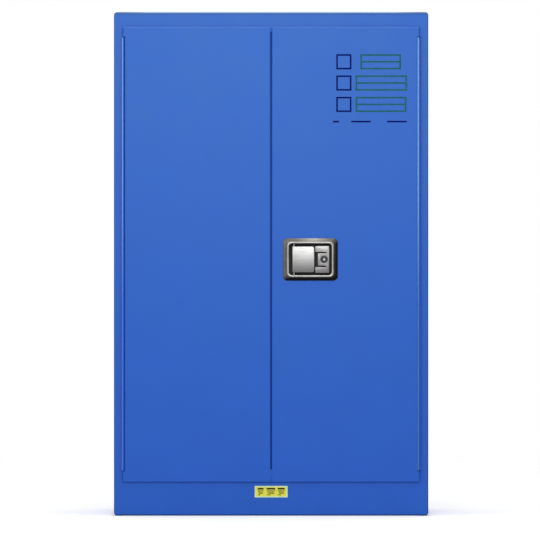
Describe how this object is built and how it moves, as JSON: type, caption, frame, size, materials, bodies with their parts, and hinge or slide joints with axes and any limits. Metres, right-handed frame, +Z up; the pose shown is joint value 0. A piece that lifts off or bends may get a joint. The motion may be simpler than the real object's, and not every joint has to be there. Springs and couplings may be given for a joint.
{
  "type": "corrosive reagent storage cabinet",
  "caption": "Double-walled steel cabinet for corrosive reagents: swinging doors on continuous hinges, key-thrown bolts, paddle latch, leak-proof sump, shelves and trays.",
  "frame": {"origin": "floor level, in the middle of the overall width and depth", "axes": "+X to the viewer's right, +Y into the depth (the doors face -Y), +Z up"},
  "size_m": [1.035, 0.46, 1.65],
  "materials": {
    "blue_paint": "satin powder coat",
    "liner_paint": "satin powder coat",
    "zinc_steel": "zinc plated",
    "galvanised": "galvanised sheet",
    "stainless": "brushed stainless",
    "dark_metal": "dark satin coated casting",
    "white_plastic": "polyethylene",
    "rubber": "matt",
    "seal_strip": "matt graphite strip",
    "brass": "turned",
    "yellow_plate": "printed sheet metal",
    "bronze_mesh": "perforated disc"
  },
  "bodies": {
    "cabinet": {"outer_wrap": "blue_paint", "outer_back": "blue_paint", "outer_bottom": "blue_paint", "left_stile": "blue_paint", "right_stile": "blue_paint", "top_rail": "blue_paint", "bottom_rail": "blue_paint", "left_liner": "liner_paint", "right_liner": "liner_paint", "back_liner": "liner_paint", "top_liner": "liner_paint", "sump_pan": "liner_paint", "frame_gasket": "rubber", "hinge_frame_leaves": "blue_paint", "hinge_pins": "zinc_steel", "shelf_pilasters": "galvanised", "shelf_clips": "zinc_steel", "vent_bushings": "zinc_steel", "flame_screens": "bronze_mesh", "foot_brackets": "zinc_steel", "earth_point": "brass", "rating_plate": "yellow_plate"},
    "left_door": {"left_door_skin": "blue_paint", "left_door_pan": "liner_paint", "left_hinge_door_leaf": "blue_paint", "left_strike": "zinc_steel", "left_door_seal": "seal_strip", "left_bolt_guides": "zinc_steel"},
    "right_door": {"right_door_skin": "blue_paint", "right_door_pan": "liner_paint", "right_hinge_door_leaf": "blue_paint", "latch_bezel": "dark_metal", "paddle_pin": "zinc_steel", "paddle_spring": "zinc_steel", "lock_plate": "stainless", "lock_cylinder": "stainless", "rod_guides": "zinc_steel", "latch_cover": "liner_paint", "latch_cover_screws": "zinc_steel"},
    "left_top_bolt": {"left_top_bolt": "zinc_steel"},
    "left_bottom_bolt": {"left_bottom_bolt": "zinc_steel"},
    "paddle": {"latch_paddle": "stainless"},
    "key_plug": {"lock_plug": "zinc_steel", "lock_cam": "zinc_steel"},
    "top_rod": {"top_lock_rod": "zinc_steel"},
    "bottom_rod": {"bottom_lock_rod": "zinc_steel"},
    "centre_bolt": {"centre_bolt": "zinc_steel"},
    "lower_shelf": {"lower_shelf": "galvanised"},
    "upper_shelf": {"upper_shelf": "galvanised"},
    "lower_tray": {"lower_tray": "white_plastic"},
    "upper_tray": {"upper_tray": "white_plastic"},
    "sump_tray": {"sump_tray": "white_plastic"},
    "left_vent_cap": {"left_vent_cap": "zinc_steel"},
    "right_vent_cap": {"right_vent_cap": "zinc_steel"},
    "left_front_foot": {"left_front_foot": "zinc_steel"},
    "left_rear_foot": {"left_rear_foot": "zinc_steel"},
    "right_front_foot": {"right_front_foot": "zinc_steel"},
    "right_rear_foot": {"right_rear_foot": "zinc_steel"}
  },
  "joints": [
    {"name": "left_door_hinge", "type": "hinge", "parent": "cabinet", "child": "left_door", "pos_m": [-0.486, -0.216, 0], "axis": [0, 0, -1], "range_deg": [0, 170]},
    {"name": "right_door_hinge", "type": "hinge", "parent": "cabinet", "child": "right_door", "pos_m": [0.486, -0.216, 0], "axis": [0, 0, 1], "range_deg": [0, 170]},
    {"name": "paddle_pull", "type": "hinge", "parent": "right_door", "child": "paddle", "pos_m": [0.0745, -0.2145, 0.8395], "axis": [0, 0, -1], "range_deg": [0, 35], "stiffness_Nm_per_rad": 0.3, "springref_deg": -17.19},
    {"name": "key_turn", "type": "hinge", "parent": "right_door", "child": "key_plug", "pos_m": [0.1735, -0.1945, 0.8395], "axis": [0, -1, 0], "range_deg": [0, 90]},
    {"name": "top_rod_slide", "type": "slide", "parent": "right_door", "child": "top_rod", "axis": [0, 0, 1], "range_m": [0, 0.014]},
    {"name": "bottom_rod_slide", "type": "slide", "parent": "right_door", "child": "bottom_rod", "axis": [0, 0, -1], "range_m": [0, 0.014]},
    {"name": "centre_bolt_slide", "type": "slide", "parent": "right_door", "child": "centre_bolt", "axis": [-1, 0, 0], "range_m": [0, 0.014]},
    {"name": "left_top_bolt_slide", "type": "slide", "parent": "left_door", "child": "left_top_bolt", "axis": [0, 0, 1], "range_m": [0, 0.014]},
    {"name": "left_bottom_bolt_slide", "type": "slide", "parent": "left_door", "child": "left_bottom_bolt", "axis": [0, 0, -1], "range_m": [0, 0.014]},
    {"name": "lower_shelf_lift", "type": "slide", "parent": "cabinet", "child": "lower_shelf", "axis": [0, 0, 1], "range_m": [0, 0.025]},
    {"name": "upper_shelf_lift", "type": "slide", "parent": "cabinet", "child": "upper_shelf", "axis": [0, 0, 1], "range_m": [0, 0.025]},
    {"name": "lower_tray_lift", "type": "slide", "parent": "lower_shelf", "child": "lower_tray", "axis": [0, 0, 1], "range_m": [0, 0.06]},
    {"name": "upper_tray_lift", "type": "slide", "parent": "upper_shelf", "child": "upper_tray", "axis": [0, 0, 1], "range_m": [0, 0.06]},
    {"name": "sump_tray_lift", "type": "slide", "parent": "cabinet", "child": "sump_tray", "axis": [0, 0, 1], "range_m": [0, 0.06]},
    {"name": "left_vent_cap_unscrew", "type": "slide", "parent": "cabinet", "child": "left_vent_cap", "axis": [-1, 0, 0], "range_m": [0, 0.03]},
    {"name": "right_vent_cap_unscrew", "type": "slide", "parent": "cabinet", "child": "right_vent_cap", "axis": [1, 0, 0], "range_m": [0, 0.03]},
    {"name": "left_front_foot_screw", "type": "slide", "parent": "cabinet", "child": "left_front_foot", "axis": [0, 0, -1], "range_m": [0, 0.02]},
    {"name": "left_rear_foot_screw", "type": "slide", "parent": "cabinet", "child": "left_rear_foot", "axis": [0, 0, -1], "range_m": [0, 0.02]},
    {"name": "right_front_foot_screw", "type": "slide", "parent": "cabinet", "child": "right_front_foot", "axis": [0, 0, -1], "range_m": [0, 0.02]},
    {"name": "right_rear_foot_screw", "type": "slide", "parent": "cabinet", "child": "right_rear_foot", "axis": [0, 0, -1], "range_m": [0, 0.02]}
  ],
  "couplings": [
    {"joint": "key_turn", "follows": "top_rod_slide", "rad_per_m": 112.19},
    {"joint": "bottom_rod_slide", "follows": "top_rod_slide", "ratio": 1},
    {"joint": "centre_bolt_slide", "follows": "top_rod_slide", "ratio": 1}
  ]
}
